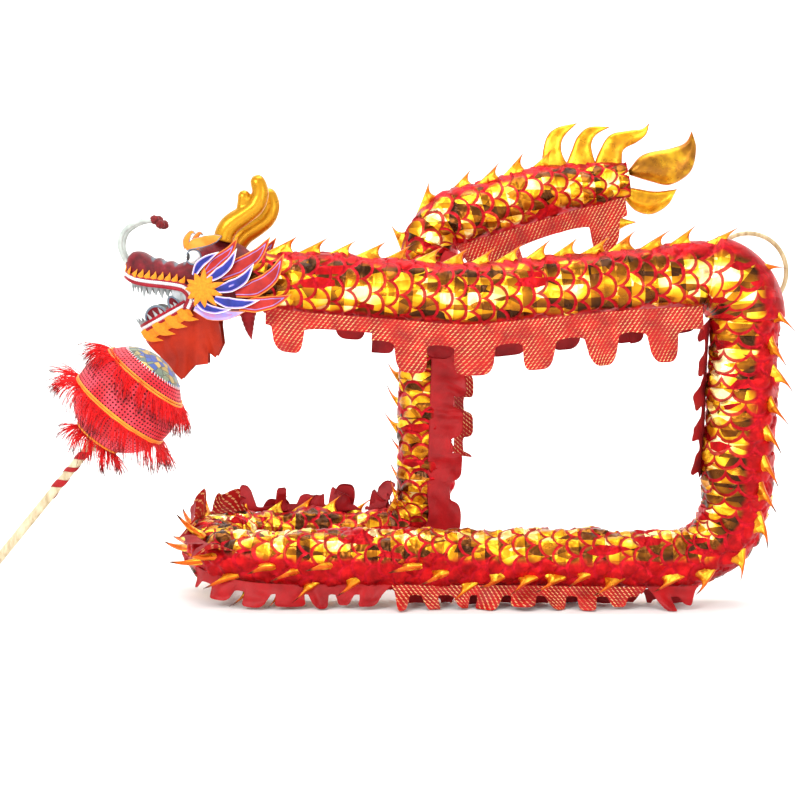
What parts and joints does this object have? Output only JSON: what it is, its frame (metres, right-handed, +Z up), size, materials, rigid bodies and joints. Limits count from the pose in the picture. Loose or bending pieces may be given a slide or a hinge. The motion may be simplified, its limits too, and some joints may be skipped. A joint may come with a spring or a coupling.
{
  "type": "dance dragon",
  "caption": "Cloth dance dragon over hoops laid out as a loop, with hinged jaw, gold fins, lobed skirts and flame tail, beside its fringed pearl on a pole.",
  "frame": {"origin": "middle of the whole layout's box, on the floor", "axes": "+X from the head towards the tail along the top run, +Y away from the viewer to the rear strand, +Z up"},
  "size_m": [2.5006, 0.9546, 1.472],
  "materials": {
    "scale_foil": "gloss",
    "fin_foil": "gloss",
    "skirt_cloth": "satin",
    "hoop_wood": "matte",
    "head_shell": "satin",
    "felt_white": "matte",
    "eye_gloss": "gloss",
    "brow_felt": "matte",
    "horn_foil": "gloss",
    "mane_cloth": "satin",
    "rosette_felt": "matte",
    "jaw_cloth": "satin",
    "tongue_cloth": "satin",
    "beard_cloth": "matte",
    "whisker_tube": "satin",
    "pin_steel": "satin",
    "socket_plastic": "matte",
    "pearl_net": "satin",
    "pearl_trim": "satin",
    "pearl_brocade": "satin",
    "pole_wood": "satin",
    "hub_plastic": "matte"
  },
  "bodies": {
    "base_left": {"cover_base_left": "scale_foil", "hoops_base_left": "hoop_wood", "spine_base_left": "fin_foil", "skirt_base_left": "skirt_cloth"},
    "front_run": {"cover_front_run": "scale_foil", "hoops_front_run": "hoop_wood", "spine_front_run": "fin_foil", "skirt_front_run": "skirt_cloth"},
    "hind_run": {"cover_hind_run": "scale_foil", "hoops_hind_run": "hoop_wood", "spine_hind_run": "fin_foil", "skirt_hind_run": "skirt_cloth"},
    "upright": {"cover_upright": "scale_foil", "hoops_upright": "hoop_wood", "spine_upright": "fin_foil", "skirt_upright": "skirt_cloth"},
    "base_right": {"cover_base_right": "scale_foil", "hoops_base_right": "hoop_wood", "spine_base_right": "fin_foil", "skirt_base_right": "skirt_cloth"},
    "coil": {"cover_coil": "scale_foil", "hoops_coil": "hoop_wood", "spine_coil": "fin_foil", "skirt_coil": "skirt_cloth"},
    "back_run": {"cover_back_run": "scale_foil", "hoops_back_run": "hoop_wood", "spine_back_run": "fin_foil", "skirt_back_run": "skirt_cloth"},
    "strand": {"cover_strand": "scale_foil", "hoops_strand": "hoop_wood", "spine_strand": "fin_foil", "skirt_strand": "skirt_cloth"},
    "tail": {"cover_tail": "scale_foil", "hoops_tail": "hoop_wood", "spine_tail": "fin_foil", "skirt_tail": "skirt_cloth", "tail_flames": "fin_foil", "tail_plume": "fin_foil"},
    "head": {"head_shell": "head_shell", "head_socket": "socket_plastic", "upper_teeth": "felt_white", "eyes": "eye_gloss", "brows": "brow_felt", "horns": "horn_foil", "mane_left": "mane_cloth", "mane_right": "mane_cloth", "cheek_rosettes": "rosette_felt"},
    "jaw": {"lower_jaw": "jaw_cloth", "jaw_pin": "pin_steel", "lower_teeth": "felt_white", "tongue": "tongue_cloth", "beard": "beard_cloth"},
    "left_whisker": {"whisker_left": "whisker_tube"},
    "right_whisker": {"whisker_right": "whisker_tube"},
    "pole": {"pearl_pole": "pole_wood"},
    "pearl": {"pearl_ball": "pearl_net", "pearl_trims": "pearl_trim", "pearl_cap": "pearl_brocade", "pearl_hubs": "hub_plastic"}
  },
  "joints": [
    {"name": "base_bend", "type": "hinge", "parent": "base_left", "child": "base_right", "pos_m": [0.35539, -0.01867, 0.14], "axis": [0, 0, 1], "range_deg": [-8, 1]},
    {"name": "upright_lean", "type": "hinge", "parent": "base_right", "child": "upright", "pos_m": [1.07227, -0.01867, 0.38026], "axis": [0, 1, 0], "range_deg": [-2.5, 6]},
    {"name": "top_corner_bend", "type": "hinge", "parent": "upright", "child": "hind_run", "pos_m": [1.08488, -0.01867, 0.82008], "axis": [0, -1, 0], "range_deg": [-6, 2.5]},
    {"name": "front_bend", "type": "hinge", "parent": "hind_run", "child": "front_run", "pos_m": [0.25539, -0.01867, 0.93], "axis": [0, 0, 1], "range_deg": [-20, 1.5]},
    {"name": "head_yaw", "type": "hinge", "parent": "front_run", "child": "head", "pos_m": [-0.29461, -0.01867, 0.972], "axis": [0, 0, 1], "range_deg": [-20, 4]},
    {"name": "jaw_hinge", "type": "hinge", "parent": "head", "child": "jaw", "pos_m": [-0.56561, -0.01867, 0.945], "axis": [0, 1, 0], "range_deg": [-4, 17]},
    {"name": "left_whisker_flex", "type": "hinge", "parent": "head", "child": "left_whisker", "pos_m": [-0.75661, -0.04267, 1.035], "axis": [0, 1, 0], "range_deg": [-15, 15], "stiffness_Nm_per_rad": 0.3},
    {"name": "right_whisker_flex", "type": "hinge", "parent": "head", "child": "right_whisker", "pos_m": [-0.75661, 0.00533, 1.035], "axis": [0, 1, 0], "range_deg": [-15, 15], "stiffness_Nm_per_rad": 0.3},
    {"name": "coil_front_bend", "type": "hinge", "parent": "base_left", "child": "coil", "pos_m": [-0.28961, -0.01867, 0.14], "axis": [0, 0, 1], "range_deg": [-8, 8]},
    {"name": "coil_back_bend", "type": "hinge", "parent": "coil", "child": "back_run", "pos_m": [-0.28961, 0.38133, 0.14], "axis": [0, 0, -1], "range_deg": [-8, 8]},
    {"name": "strand_lean", "type": "hinge", "parent": "back_run", "child": "strand", "pos_m": [0.13539, 0.38133, 0.33], "axis": [0, 1, 0], "range_deg": [-7, 7]},
    {"name": "tail_sway", "type": "hinge", "parent": "strand", "child": "tail", "pos_m": [0.30039, 0.38133, 1.189], "axis": [0, 0, 1], "range_deg": [-10, 22]},
    {"name": "pole_lean", "type": "hinge", "parent": "base_left", "child": "pole", "pos_m": [-1.24023, -0.28067, 0.00824], "axis": [0, 1, 0], "range_deg": [-12, 2]},
    {"name": "pearl_spin", "type": "hinge", "parent": "pole", "child": "pearl", "pos_m": [-0.71961, -0.28067, 0.643], "axis": [0.6342, 0, 0.7732], "continuous": true}
  ]
}
